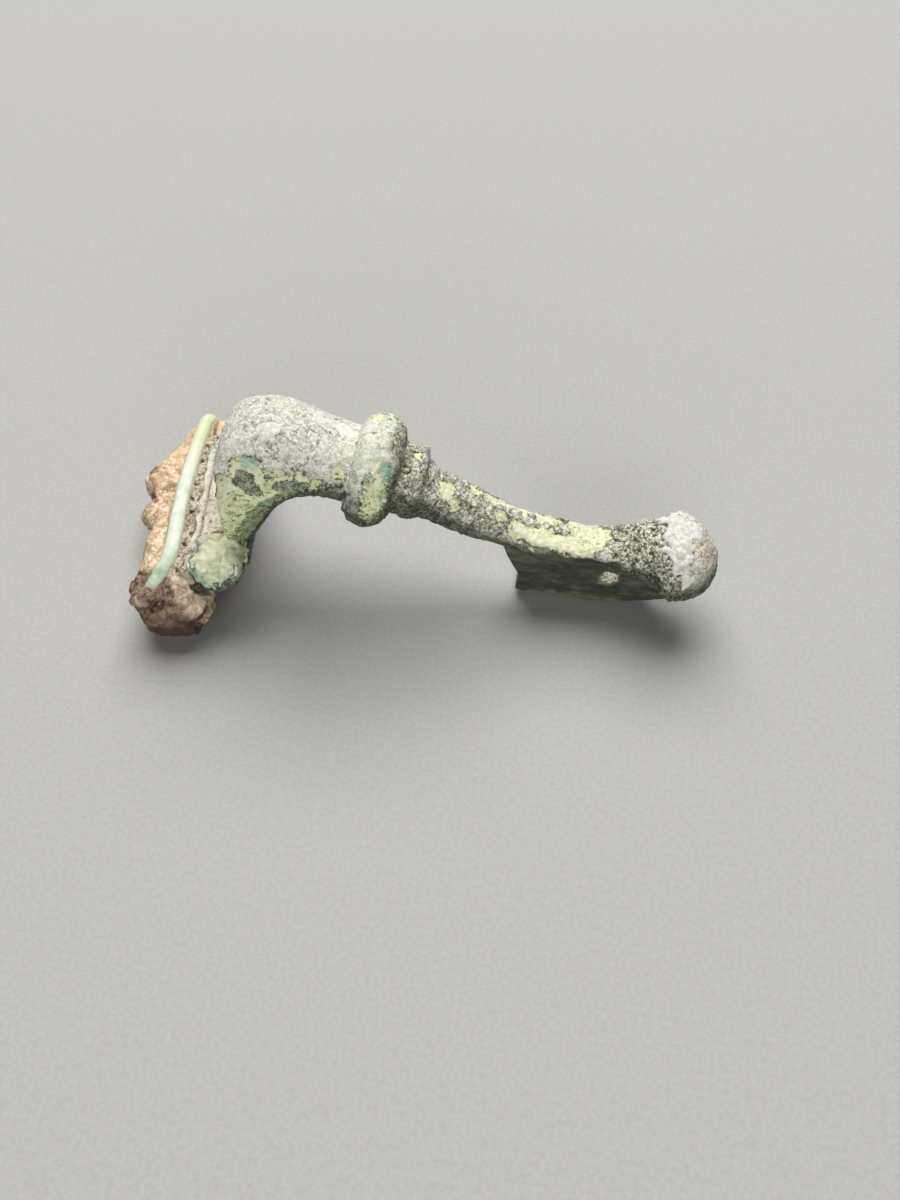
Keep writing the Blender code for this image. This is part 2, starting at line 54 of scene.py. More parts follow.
view_level = math.cos(VIEW_ELEVATION)
view_back = Vector(
    (
        math.sin(VIEW_AZIMUTH) * view_level,
        -math.cos(VIEW_AZIMUTH) * view_level,
        math.sin(VIEW_ELEVATION),
    )
)
view_side = Vector((math.cos(VIEW_AZIMUTH), math.sin(VIEW_AZIMUTH), 0.0))
camera_data = bpy.data.cameras.new("Close view")
camera_data.lens = 36.0
camera_data.sensor_width = 36.0
camera_data.clip_start = 0.001
camera = bpy.data.objects.new("Close view", camera_data)
turn = Matrix((view_side, view_back.cross(view_side), view_back)).transposed().to_4x4()
camera.matrix_world = Matrix.Translation(VIEW_CENTRE + VIEW_DISTANCE * view_back) @ turn
scene.collection.objects.link(camera)
scene.camera = camera


# The floor and the light
# A plain pale sheet under the brooch, lit by one soft window from behind, so that the shade falls towards
# the viewer, and by a white wall in front that sends a little light back.
class Recipe:
    """Adds the nodes of one material or node group, so that a finish reads as its recipe."""

    def __init__(self, tree):
        self.tree = tree

    def node(self, kind, **settings):
        made = self.tree.nodes.new("ShaderNode" + kind)
        for name, value in settings.items():
            setattr(made, name, value)
        return made

    def feed(self, socket, value):
        """Link a socket to another, or give it a number or a colour."""
        if isinstance(value, bpy.types.NodeSocket):
            self.tree.links.new(value, socket)
        elif isinstance(value, tuple) and socket.type == "RGBA":
            socket.default_value = (*value, 1.0)
        else:
            socket.default_value = value

    def sum(self, operation, *values):
        made = self.node("Math", operation=operation)
        for socket, value in zip(made.inputs, values):
            self.feed(socket, value)
        return made.outputs[0]

    def times(self, first, second):
        return self.sum("MULTIPLY", first, second)

    def scaled(self, value, factor, plus):
        """The value times the factor, with the last one added."""
        return self.sum("MULTIPLY_ADD", value, factor, plus)

    def noise(self, place, size, detail=3.0, roughness=0.55):
        """Noise from 0 to 1 whose features are about the given size, in metres."""
        made = self.node("TexNoise")
        self.feed(made.inputs["Vector"], place)
        self.feed(made.inputs["Scale"], 1.0 / size)
        self.feed(made.inputs["Detail"], detail)
        self.feed(made.inputs["Roughness"], roughness)
        return made.outputs["Fac"]

    def between(self, value, low, high):
        """0 below the low value and 1 above the high one, with an even run between."""
        made = self.node("MapRange", interpolation_type="SMOOTHSTEP")
        self.feed(made.inputs["Value"], value)
        self.feed(made.inputs["From Min"], low)
        self.feed(made.inputs["From Max"], high)
        return made.outputs["Result"]

    def mix(self, share, first, second, blend="MIX"):
        made = self.node("Mix", data_type="RGBA", blend_type=blend)
        self.feed(made.inputs["Factor"], share)
        self.feed(made.inputs[6], first)
        self.feed(made.inputs[7], second)
        return made.outputs[2]

    def attribute(self, name):
        """The red, green and blue of a colour attribute, and its alpha."""
        made = self.node("Attribute", attribute_name=name)
        split = self.node("SeparateColor")
        self.feed(split.inputs[0], made.outputs["Color"])
        return [*split.outputs, made.outputs["Alpha"]]

    def roughen(self, shader, height, strength, depth):
        """Unevenness that is too fine for the mesh."""
        bump = self.node("Bump")
        self.feed(bump.inputs["Height"], height)
        bump.inputs["Strength"].default_value = strength
        bump.inputs["Distance"].default_value = depth
        self.feed(shader.inputs["Normal"], bump.outputs["Normal"])


def new_material(name):
    """A material with its recipe and its Principled shader."""
    material = bpy.data.materials.new(name)
    material.use_nodes = True
    recipe = Recipe(material.node_tree)
    return material, recipe, material.node_tree.nodes["Principled BSDF"]


FLOOR_SIZE = 1.6
FLOOR_FLECK = 0.4 * MM
FLOOR_DULL = (0.40, 0.40, 0.395)
FLOOR_PALE = (0.54, 0.54, 0.53)

floor_shape = bmesh.new()
bmesh.ops.create_grid(floor_shape, x_segments=1, y_segments=1, size=FLOOR_SIZE / 2)
floor_mesh = bpy.data.meshes.new("floor")
floor_shape.to_mesh(floor_mesh)
floor_shape.free()
floor = bpy.data.objects.new("floor", floor_mesh)
scene.collection.objects.link(floor)
floor_material, recipe, shader = new_material("Pale card")
place = recipe.node("TexCoord").outputs["Object"]
fleck = recipe.noise(place, FLOOR_FLECK)
shade = recipe.mix(fleck, FLOOR_DULL, FLOOR_PALE)
recipe.feed(shader.inputs["Base Color"], shade)
recipe.feed(shader.inputs["Roughness"], 0.9)
floor_mesh.materials.append(floor_material)


def add_window(name, direction, distance, size, watts, colour):
    """A wide soft light that faces the brooch."""
    lamp_data = bpy.data.lights.new(name, "AREA")
    lamp_data.size = size
    lamp_data.energy = watts
    lamp_data.color = colour
    lamp = bpy.data.objects.new(name, lamp_data)
    out = Vector(direction).normalized()
    turned = out.to_track_quat("Z", "Y").to_matrix().to_4x4()
    lamp.matrix_world = Matrix.Translation(VIEW_CENTRE + distance * out) @ turned
    scene.collection.objects.link(lamp)


WINDOW_FROM = (-0.1, 0.66, 1.15)
WALL_FROM = (0.12, -1.0, 0.25)
WINDOW_COLOUR = (1.0, 0.985, 0.95)
WALL_COLOUR = (1.0, 0.995, 0.97)
add_window("Window behind", WINDOW_FROM, distance=0.9, size=0.80, watts=11.7, colour=WINDOW_COLOUR)
add_window("White wall in front", WALL_FROM, distance=0.8, size=0.7, watts=4.2, colour=WALL_COLOUR)
world = bpy.data.worlds.new("Room")
world.use_nodes = True
world.node_tree.nodes["Background"].inputs["Color"].default_value = (0.93, 0.95, 1.0, 1.0)
world.node_tree.nodes["Background"].inputs["Strength"].default_value = 0.03
scene.world = world


# The bow with its catchplate
# One bronze casting: crossbar, trumpet head, collar, foot, catchplate and knob. Nearly two thousand years
# in the soil have given it a sandy grey crust, which has flaked off in places down to yellow-green patina.
class Grain:
    """Smooth noise and scattered points in space, the same in every run."""

    def __init__(self, seed, side=32):
        drawn = np.random.default_rng(seed)
        slopes = drawn.normal(size=(side, side, side, 3))
        self.slopes = slopes / np.linalg.norm(slopes, axis=-1, keepdims=True)
        self.seeds = drawn.random((side, side, side, 3))
        self.side = side

    def smooth(self, places):
        cell = np.floor(places).astype(int)
        part = places - cell
        fade = part**3 * (part * (part * 6 - 15) + 10)
        total = np.zeros(len(places))
        for corner in np.ndindex(2, 2, 2):
            slope = self.slopes[tuple(((cell + corner) % self.side).T)]
            reach = ((part - corner) * slope).sum(axis=1)
            total += reach * np.prod(np.where(corner, fade, 1 - fade), axis=1)
        return 1.6 * total

    def rough(self, points, size, octaves=3):
        """Noise of several finenesses, about -1 to 1, its broadest features of the given size."""
        total = np.zeros(len(points))
        for octave in range(octaves):
            total += self.smooth(points / size * 2**octave + 7.3 * octave) / 2**octave
        return total

    def gnarled(self, points, size, octaves=3):
        """Rough noise whose places are pushed about, so that nothing in it is round or even."""
        push = [self.smooth(points / size + 11.3 * axis) for axis in (1, 2, 3)]
        return self.rough(points + 0.55 * size * np.stack(push, axis=1), size, octaves)

    def from_seed(self, points, size):
        """The distance to the nearest of scattered points, as a share of their spacing."""
        places = points / size
        cell = np.floor(places).astype(int)
        near = np.full(len(places), 9.0)
        for step in np.ndindex(3, 3, 3):
            other = cell + np.array(step) - 1
            spot = other + self.seeds[tuple((other % self.side).T)]
            near = np.minimum(near, np.linalg.norm(places - spot, axis=1))
        return near


def ease(value, low, high):
    """0 below the low value, 1 above the high one, and a smooth run between."""
    share = np.clip((value - low) / (high - low), 0.0, 1.0)
    return share * share * (3 - 2 * share)


def line(distance, width):
    """1 on a line, falling away on both sides over about the given width."""
    return np.exp(-((distance / width) ** 2))


def even_skin(name, sources, voxel):
    """Closed meshes made into one even skin of small faces, as a new object."""
    shape = bmesh.new()
    for source in sources:
        shape.from_mesh(source)
    bmesh.ops.remove_doubles(shape, verts=shape.verts, dist=0.001 * MM)
    mesh = bpy.data.meshes.new(name)
    shape.to_mesh(mesh)
    shape.free()
    rough_piece = bpy.data.objects.new(name + "_rough", mesh)
    scene.collection.objects.link(rough_piece)
    remesh = rough_piece.modifiers.new("Even skin", "REMESH")
    remesh.mode = "VOXEL"
    remesh.voxel_size = voxel
    bpy.context.view_layer.update()
    graph = bpy.context.evaluated_depsgraph_get()
    made = bpy.data.meshes.new_from_object(rough_piece.evaluated_get(graph))
    made.name = name
    bpy.data.objects.remove(rough_piece, do_unlink=True)
    bpy.data.meshes.remove(mesh)
    piece = bpy.data.objects.new(name, made)
    scene.collection.objects.link(piece)
    return piece


class Skin:
    """A piece's points, in millimetres, with what is needed to rub them down and to raise or sink them."""

    def __init__(self, piece):
        self.mesh = piece.data
        count = len(self.mesh.vertices)
        flat = np.empty(count * 3, np.float32)
        self.mesh.vertices.foreach_get("co", flat)
        self.points = flat.reshape(-1, 3).astype(float) * 1000
        ends = np.empty(len(self.mesh.edges) * 2, np.int32)
        self.mesh.edges.foreach_get("vertices", ends)
        ends = ends.reshape(-1, 2)
        self.ends = np.concatenate([ends[:, 0], ends[:, 1]])
        self.others = np.concatenate([ends[:, 1], ends[:, 0]])
        self.links = np.bincount(self.ends, minlength=count)[:, None]

    def beside(self, values):
        """The mean of each point's neighbours."""
        count = len(self.points)
        columns = [np.bincount(self.ends, column[self.others], count) for column in values.T]
        return np.stack(columns, axis=1) / self.links

    def rub(self, rounds, share=0.5, back=-0.52, hold=None):
        """Rub the facets down without making the piece thinner; where hold is 1 it stays as it is."""
        free = 1.0 if hold is None else (1.0 - hold)[:, None]
        for _ in range(rounds):
            for part in (share, back):
                self.points += part * free * (self.beside(self.points) - self.points)

    def normals(self):
        self.store()
        flat = np.empty(len(self.points) * 3, np.float32)
        self.mesh.vertices.foreach_get("normal", flat)
        return flat.reshape(-1, 3).astype(float)

    def raise_by(self, height):
        self.points += self.normals() * height[:, None]

    def relief(self, rounds):
        """How far each point stands above the surface round it (below 0: lies under it), in millimetres."""
        base = self.points
        for _ in range(rounds):
            base = base + 0.5 * (self.beside(base) - base)
        return ((self.points - base) * self.normals()).sum(axis=1)

    def store(self):
        self.mesh.vertices.foreach_set("co", (self.points / 1000).astype(np.float32).ravel())
        self.mesh.update()

    def paint(self, name, *columns):
        """Keep up to four values of each point, from 0 to 1, as a colour attribute."""
        values = np.zeros((len(self.points), 4), np.float32)
        for index, column in enumerate(columns):
            values[:, index] = np.clip(column, 0.0, 1.0)
        attribute = self.mesh.color_attributes.new(name, "FLOAT_COLOR", "POINT")
        attribute.data.foreach_set("color", values.ravel())


def inside_spots(points, spots):
    """How far inside the nearest of some round spots (x, y, z, radius) each point lies, in millimetres."""
    depth = np.full(len(points), -9.0)
    for x, y, z, radius in spots:
        depth = np.maximum(depth, radius - np.linalg.norm(points - (x, y, z), axis=1))
    return depth


BOW_VOXEL = 0.152 * MM
BOW_RUB_ROUNDS = 26
RIB_RUB_ROUNDS = 18

# How high and deep the relief is, in millimetres
BROAD_WEAR = 0.10
CRUST_DEPTH = 0.20
CRUST_MIDDLE = 0.50
LUMP_RISE = 0.16
CURD_RISE = 0.15
PIT_SINK = 0.13
CHALK_RISE = 0.10
RIDGE_RISE = 0.26
LIP_RISE = 0.15
GROOVE_SINK = 0.12
DISH_SINK = 0.14

# Where the forms lie that the crust follows, in millimetres from the origin
MOUTH_X = -28.02
LIP_X = -27.75
COLLAR_X = -14.3
COLLAR_REACH = 1.9
UNDER_COLLAR_X = -14.7
RIB_X = -10.9
RIB_REACH = 1.9
NEAR_BOSS = (-28.3, -6.9, 7.4)
NEAR_BOSS_REACH = 2.9
KNOB_TIP = (15.6, -0.8, 10.0)
FOOT_STATIONS = (-11.5, -8.0, -5.0, -2.0, 1.0)
FOOT_TOPS = (17.6, 14.4, 12.6, 11.0, 10.0)
HOLE = np.array((7.6, 0.0, 4.0))
PLUG_RADII = (0.78, 0.62, 0.78)

# The spots are the x, y, z and radius, in millimetres, of what the photograph shows, with a few more on the
# far side. Flaked places: head, waist, collar, rib, foot, near boss, and then the far side.
FLAKED_SPOTS = (
    (-25.9, -5.3, 12.3, 3.0),
    (-26.8, -5.4, 9.4, 2.6),
    (-26.6, -5.3, 15.2, 2.0),
    (-24.4, -4.2, 17.6, 1.8),
    (-23.6, -4.8, 15.0, 2.0),
    (-22.0, -4.4, 16.3, 1.9),
    (-20.3, -4.0, 16.7, 1.3),
    (-18.9, -3.9, 16.2, 0.9),
    (-21.3, -4.2, 14.6, 1.2),
    (-16.8, -3.0, 17.3, 0.75),
    (-16.9, -3.6, 16.5, 0.5),
    (-13.0, -3.2, 18.5, 1.2),
    (-13.3, -4.2, 17.1, 1.25),
    (-13.6, -4.8, 15.6, 1.3),
    (-13.9, -4.9, 14.2, 1.1),
    (-13.9, 2.6, 18.8, 1.3),
    (-10.5, 0.2, 17.1, 0.5),
    (-7.7, -0.6, 14.0, 0.75),
    (-7.1, -1.4, 13.2, 0.6),
    (-5.4, 1.2, 12.8, 0.9),
    (-3.9, 1.3, 12.1, 1.1),
    (-2.4, 1.5, 11.3, 1.2),
    (-0.9, 1.6, 10.6, 1.15),
    (0.6, 1.7, 10.1, 1.1),
    (2.2, 1.7, 9.7, 1.1),
    (3.8, 1.5, 9.5, 1.3),
    (5.2, 1.0, 9.4, 1.3),
    (6.3, 0.5, 9.4, 1.1),
    (-3.0, -0.6, 11.3, 0.7),
    (-1.2, -1.3, 10.4, 1.1),
    (0.5, -1.5, 9.7, 1.3),
    (2.3, -1.4, 9.3, 1.4),
    (4.1, -1.0, 9.2, 1.5),
    (5.3, -0.7, 9.2, 1.35),
    (-28.2, -7.4, 8.4, 2.0),
    (-29.2, -8.6, 7.0, 1.3),
    (-26.0, -4.6, 6.0, 1.6),
    (-24.8, 4.4, 14.6, 2.4),
    (-20.6, 4.0, 15.6, 1.5),
    (-13.2, 4.6, 14.8, 1.6),
    (-1.0, 1.6, 9.9, 1.2),
    (-28.6, 7.6, 8.4, 1.6),
)
# Dark pits: two large ones on the head, and a row of small ones along the foot's near edge
PIT_SPOTS = (
    (-24.9, -4.7, 16.9, 1.05),
    (-24.1, -4.9, 15.9, 0.85),
    (-21.6, -4.3, 16.2, 0.85),
    (-20.7, -4.2, 15.9, 0.85),
    (-19.8, -4.1, 16.0, 0.55),
    (-22.9, -4.2, 17.3, 0.4),
    (-0.9, -2.0, 9.6, 0.34),
    (-0.2, -2.1, 9.25, 0.40),
    (0.6, -2.1, 8.95, 0.46),
    (1.4, -2.1, 8.7, 0.48),
    (2.2, -2.1, 8.5, 0.44),
    (3.0, -2.1, 8.4, 0.34),
    (-24.2, 4.6, 15.0, 0.9),
    (-20.4, 4.1, 15.2, 0.5),
)
# Blue-green stains: on the head, the collar, under the near boss and round the catchplate's hole
TEAL_SPOTS = (
    (-24.5, -3.9, 18.7, 1.0),
    (-23.3, -4.7, 14.0, 0.6),
    (-12.5, -2.8, 18.2, 1.0),
    (-12.7, -4.2, 16.6, 0.7),
    (5.4, 1.2, 9.4, 0.6),
    (-29.9, -8.4, 6.9, 1.5),
    (-29.2, -9.0, 6.2, 1.5),
    (-27.8, -9.2, 6.0, 1.4),
    (-26.5, -8.3, 6.7, 1.3),
    (7.6, -0.7, 4.0, 1.1),
    (-14.0, 2.9, 18.9, 0.7),
    (-25.6, 4.9, 13.6, 0.8),
)
# White chalky deposit: over the knob, and in small dabs on the head and the collar
CHALK_SPOTS = (
    (12.6, 1.6, 11.2, 1.2),
    (13.0, -0.2, 11.4, 1.3),
    (13.2, -1.6, 10.9, 1.15),
    (13.6, -2.7, 9.8, 0.95),
    (14.1, -3.3, 8.9, 0.65),
    (13.5, 2.6, 10.2, 1.0),
    (14.1, 0.6, 11.3, 1.1),
    (-19.2, 1.0, 19.5, 0.75),
    (-22.9, -1.6, 20.2, 0.9),
    (-17.0, 0.7, 18.9, 0.7),
    (-16.2, 0.4, 18.7, 0.5),
    (-14.5, 0.4, 19.9, 0.55),
    (-14.4, -0.8, 19.8, 0.45),
    (11.3, 0.6, 10.9, 0.5),
)


def hole_plug():
    """The soil that fills the small hole through the catchplate."""
    shape = bmesh.new()
    bmesh.ops.create_icosphere(shape, subdivisions=3, radius=1.0)
    bmesh.ops.scale(shape, vec=Vector(PLUG_RADII) * MM, verts=shape.verts)
    bmesh.ops.translate(shape, vec=Vector(HOLE) * MM, verts=shape.verts)
    mesh = bpy.data.meshes.new("plug")
    shape.to_mesh(mesh)
    shape.free()
    return mesh


bow = even_skin("bow", [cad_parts["bow_with_catchplate"].data, hole_plug()], BOW_VOXEL)
skin = Skin(bow)
plate = ease(skin.points[:, 0], -4.5, -2.5) * ease(-skin.points[:, 2], -6.6, -6.0)
skin.rub(BOW_RUB_ROUNDS, hold=0.75 * plate)
worn_rib = ease(RIB_REACH - np.abs(skin.points[:, 0] - RIB_X), 0.0, 0.6)
worn_rib *= ease(skin.points[:, 2], 10.5, 11.5)
skin.rub(RIB_RUB_ROUNDS, back=-0.25, hold=1 - worn_rib)
grain = Grain(4)
fine_grain = Grain(11)
points = skin.points.copy()
facing = skin.normals()
x, y, z = points.T

# Where the crust has flaked, and the dark pits, teal stains and chalky deposits, all with ragged edges
ragged = 0.50 * grain.gnarled(points, 1.9, 4) + 0.22 * fine_grain.gnarled(points + 8.0, 0.7, 3)
scattered = 0.45 * (fine_grain.gnarled(points + 4.0, 2.1, 3) - 0.95)
flaked_depth = np.maximum(inside_spots(points, FLAKED_SPOTS) + ragged, scattered)
pit_depth = inside_spots(points, PIT_SPOTS) + 0.35 * fine_grain.gnarled(points, 0.9, 3)
teal_depth = inside_spots(points, TEAL_SPOTS) + 0.6 * fine_grain.gnarled(points, 1.3, 3)
chalk_depth = inside_spots(points, CHALK_SPOTS) + 0.6 * grain.gnarled(points + 2.0, 1.1, 4)
from_hole = np.linalg.norm((points - HOLE)[:, [0, 2]], axis=1)
ring_depth = 0.30 - 2.5 * np.abs(from_hole - 0.95) + 0.25 * grain.rough(points, 0.9, 3)
teal_depth = np.maximum(teal_depth, np.where(from_hole < 1.6, ring_depth, -9.0))
flaked = ease(flaked_depth, -0.07, 0.07)
pitted = ease(pit_depth, -0.10, 0.06) * flaked

# The foot's end, the plain plate, the soil in its hole, the undersides that get painted shade and where the
# crust is coarse
foot_end = ease(x, 5.8, 8.2) * ease(z, 2.5, 5.0)
foot_edge = 8.3 + 0.45 * np.maximum(-x, 0.0) + 0.2 * grain.rough(points, 1.2, 3)
under_foot = ease(x, -5.5, -3.0) * ease(9.5 - x, 0.0, 2.5) * ease(foot_edge - z, -0.15, 0.15)
plain_plate = np.maximum(plate * ease(6.0 - z, 0.0, 1.2), under_foot)
soil = plate * ease(0.82 - from_hole, 0.0, 0.15)
crust = (1 - flaked) * (1 - plain_plate)
knob = ease(x, 13.4, 14.8)
# Painted shade: under the collar, under the knob and along the foot's lower near side the colours are made
# darker.
shaded = ease(2.4 - np.abs(x - UNDER_COLLAR_X), 0.0, 0.7) * ease(14.8 - z, 0.0, 1.5)
shaded = np.maximum(shaded, ease(x, 12.2, 13.8) * ease(8.6 - z, 0.0, 1.8))
foot_top = np.interp(x, FOOT_STATIONS, FOOT_TOPS)
lower_side = ease(foot_top - 1.0 - z, 0.0, 1.3) * ease(x, -12.6, -11.6) * ease(0.5 - x, 0.0, 3.0)
shaded = np.maximum(shaded, 0.9 * lower_side)
# Painted light and shade: 1 where the surface faces up, which the colours make paler, less on the sides,
# below and in the places above, which they make darker.
painted_top_light = ease(facing[:, 2], -0.35, 0.85) * (1 - 0.75 * shaded)
collar_top = ease(COLLAR_REACH - np.abs(x - COLLAR_X), 0.0, 0.5) * ease(z, 16.4, 17.8)
coarse = np.maximum(ease(x, -13.2, -12.2) * (0.55 + 0.27 * ease(-x, -1.0, 4.0)), foot_end)
under_waist = ease(x, -22.5, -18.5) * ease(-x, 12.0, 13.0) * ease(0.8 - painted_top_light, 0.0, 0.5)
coarse = np.maximum(coarse * (1 - 0.7 * knob), 0.9 * under_waist)

# The broad unevenness of a worn casting, the sandy crust, the flaked places and the lumps at the foot's end
height = BROAD_WEAR * grain.rough(points, 4.2, 2) * (1 - 0.6 * plain_plate)
height += CRUST_DEPTH * (crust - CRUST_MIDDLE)
crumbs = fine_grain.gnarled(points, 0.8, 3)
hollows = grain.gnarled(points + 6.0, 1.3, 3)
sand = np.abs(fine_grain.gnarled(points + 3.3, 0.55, 2)) - 0.35
height += crust * ((0.05 + 0.07 * coarse) * crumbs + 0.07 * sand)
height += crust * coarse * (0.05 + 0.26 * (np.abs(grain.gnarled(points + 1.5, 1.2, 2)) - 0.3))
height -= crust * (0.07 + 0.16 * coarse) * ease(-hollows, 0.25, 0.9)
lumps = np.abs(grain.gnarled(points + 3.1, 1.0, 3)) - 0.35
curds = np.abs(fine_grain.gnarled(points + 2.2, 0.75, 2)) - 0.35
height += flaked * (1 - 0.7 * plain_plate) * (LUMP_RISE * lumps + CURD_RISE * curds)
height -= PIT_SINK * pitted
from_lump = fine_grain.from_seed(points, 1.5)
foot_lumps = 0.20 * (0.5 - from_lump) + 0.50 * (np.abs(grain.gnarled(points + 9.0, 1.9, 3)) - 0.35)
height += foot_end * (1 - 0.8 * knob) * (1 - 0.7 * ease(chalk_depth, -0.2, 0.3)) * foot_lumps
height += CHALK_RISE * ease(chalk_depth, -0.1, 0.25)
height += plain_plate * 0.03 * grain.rough(points + 5.0, 2.2, 3)
height += soil * 0.08 * fine_grain.gnarled(points, 0.5, 2)

# The crossbar's raised front edge with the dished strip behind it, and the thin lip of the head's mouth
CROSSBAR_SKEW = math.radians(6.0)
CROSSBAR_MIDDLE_X = -29.05
RIDGE_ACROSS = -2.0
across = (x - CROSSBAR_MIDDLE_X) * math.cos(CROSSBAR_SKEW) + y * math.sin(CROSSBAR_SKEW)
top_side = ease(facing[:, 2], 0.15, 0.5) * ease(7.4 - np.abs(y), 0.0, 1.5)
on_bar = top_side * ease(-x, 27.9, 28.3) * ease(9.8 - z, 0.0, 0.5)
from_ridge = across - RIDGE_ACROSS + 0.10 * grain.rough(points, 2.0, 2)
ridge = on_bar * line(from_ridge, 0.13) * ease(grain.rough(points + 7.0, 1.6, 2), -0.7, 0.1)
mouth_foot = line(x - MOUTH_X, 0.19) * ease(15.5 - z, 0.0, 2.0) * ease(z, 8.3, 9.0)
mouth_foot *= ease(5.4 - np.abs(y), 0.0, 0.5)
groove = np.maximum(on_bar * line(from_ridge - 0.40, 0.15), mouth_foot)
lip = line(x - LIP_X, 0.2) * ease(z, 8.9, 9.8) * ease(facing[:, 0], -0.9, -0.4)
nub = ease(NEAR_BOSS_REACH - np.linalg.norm(points - NEAR_BOSS, axis=1), 0.0, 0.3)
height += RIDGE_RISE * ridge + LIP_RISE * lip
height -= GROOVE_SINK * groove + on_bar * DISH_SINK * line(across - RIDGE_ACROSS - 1.2, 0.7)
nub_lobes = np.abs(grain.gnarled(points + 5.0, 1.7, 3)) - 0.35
height += nub * (0.12 + 0.30 * grain.gnarled(points + 1.0, 2.4, 2) + 0.28 * nub_lobes)
skin.raise_by(height)
skin.points[:, 2] = np.maximum(skin.points[:, 2], 0.0)

# What the material has to know of each point
relief = skin.relief(9)
skin.paint("finish", 0.5 + flaked_depth, 0.5 + pit_depth, 0.5 + chalk_depth, 0.5 + 0.6 * teal_depth)
bar_tan = on_bar * ease(5.0 - np.abs(y + 1.2), 0.0, 2.5)
# The hollows, which the material darkens as painted shade, then the soil, the near boss and the plain
# plate.
skin.paint("painted_shade_and_masks", 0.5 - 4.0 * relief, soil, nub, plain_plate)
low_edge = ease(1.9 - z + 0.4 * grain.rough(points, 1.5, 3), 0.0, 1.6)
low_edge = np.maximum(low_edge, 0.8 * ease(-x + 0.5 * grain.rough(points, 1.5, 3), 1.6, 3.2))
from_tip = np.linalg.norm(points - KNOB_TIP, axis=1)
pink_end = ease(1.8 - from_tip + 0.4 * grain.rough(points, 1.2, 3), 0.0, 0.8)
skin.paint("place", bar_tan, painted_top_light, np.maximum(ridge, lip), coarse)
skin.paint("tint", collar_top, groove, pink_end, low_edge)
skin.store()
skin.mesh.shade_smooth()


def grain_group():
    """A fine mineral grain: its height, its tone from hollow to crumb, and broader blotches."""
    group = bpy.data.node_groups.new("Mineral grain", "ShaderNodeTree")
    group.interface.new_socket("Size", in_out="INPUT", socket_type="NodeSocketFloat")
    for name in ("Height", "Tone", "Blotch"):
        group.interface.new_socket(name, in_out="OUTPUT", socket_type="NodeSocketFloat")
    recipe = Recipe(group)
    entry = group.nodes.new("NodeGroupInput")
    leave = group.nodes.new("NodeGroupOutput")
    place = recipe.node("TexCoord").outputs["Object"]
    scale = recipe.sum("DIVIDE", 1.0, entry.outputs["Size"])
    crumbs = recipe.node("TexNoise")
    recipe.feed(crumbs.inputs["Vector"], place)
    recipe.feed(crumbs.inputs["Scale"], scale)
    crumbs.inputs["Detail"].default_value = 5.0
    crumbs.inputs["Roughness"].default_value = 0.75
    grains = recipe.node("TexVoronoi")
    recipe.feed(grains.inputs["Vector"], place)
    recipe.feed(grains.inputs["Scale"], recipe.times(scale, 2.3))
    split = recipe.node("SeparateColor")
    recipe.feed(split.inputs[0], grains.outputs["Color"])
    blotch = recipe.node("TexNoise")
    recipe.feed(blotch.inputs["Vector"], place)
    recipe.feed(blotch.inputs["Scale"], recipe.times(scale, 0.22))
    blotch.inputs["Detail"].default_value = 5.0
    blotch.inputs["Roughness"].default_value = 0.62
    height = recipe.scaled(grains.outputs["Distance"], -0.25, crumbs.outputs["Fac"])
    mixed = recipe.scaled(split.outputs[0], 0.22, crumbs.outputs["Fac"])
    recipe.feed(leave.inputs["Height"], height)
    recipe.feed(leave.inputs["Tone"], recipe.between(mixed, 0.48, 0.74))
    recipe.feed(leave.inputs["Blotch"], recipe.between(blotch.outputs["Fac"], 0.40, 0.60))
    return group


mineral_grain = grain_group()


def add_grain(recipe, size):
    """The mineral grain at one size, as its height, tone and blotch."""
    node = recipe.node("Group", node_tree=mineral_grain)
    node.inputs["Size"].default_value = size
    return node.outputs["Height"], node.outputs["Tone"], node.outputs["Blotch"]


def dress(piece, material):
    """Give a piece its one material."""
    piece.data.materials.clear()
    piece.data.materials.append(material)


SAND_GRAIN = 0.28 * MM
SAND_CRUMB = 0.75 * MM
CRACK_SPACING = 1.5 * MM
BUMP_DEPTH = 0.11 * MM

bow_material, recipe, shader = new_material("Corroded bronze crust")
place = recipe.node("TexCoord").outputs["Object"]
flaked, pit, chalk, teal = recipe.attribute("finish")
hollow, soil, nub, plain_plate = recipe.attribute("painted_shade_and_masks")
bar_tan, painted_top_light, light_line, coarse = recipe.attribute("place")
collar_top, groove, pink_end, low_edge = recipe.attribute("tint")
grain_height, grain_tone, _ = add_grain(recipe, SAND_GRAIN)
crumb_height, crumb_tone, broad_blotch = add_grain(recipe, SAND_CRUMB)
wobble = recipe.times(recipe.sum("SUBTRACT", crumb_height, 0.45), 0.5)
grainy = recipe.scaled(crumb_tone, 0.7, grain_tone)
sandy = recipe.between(grainy, recipe.scaled(coarse, 0.24, 0.35), recipe.scaled(coarse, -0.24, 1.35))
from_crack = recipe.sum("SUBTRACT", recipe.noise(place, CRACK_SPACING, 5.0, 0.62), 0.5)
crack = recipe.between(recipe.sum("ABSOLUTE", from_crack), 0.016, 0.004)
crack = recipe.times(crack, recipe.between(broad_blotch, 0.25, 0.8))

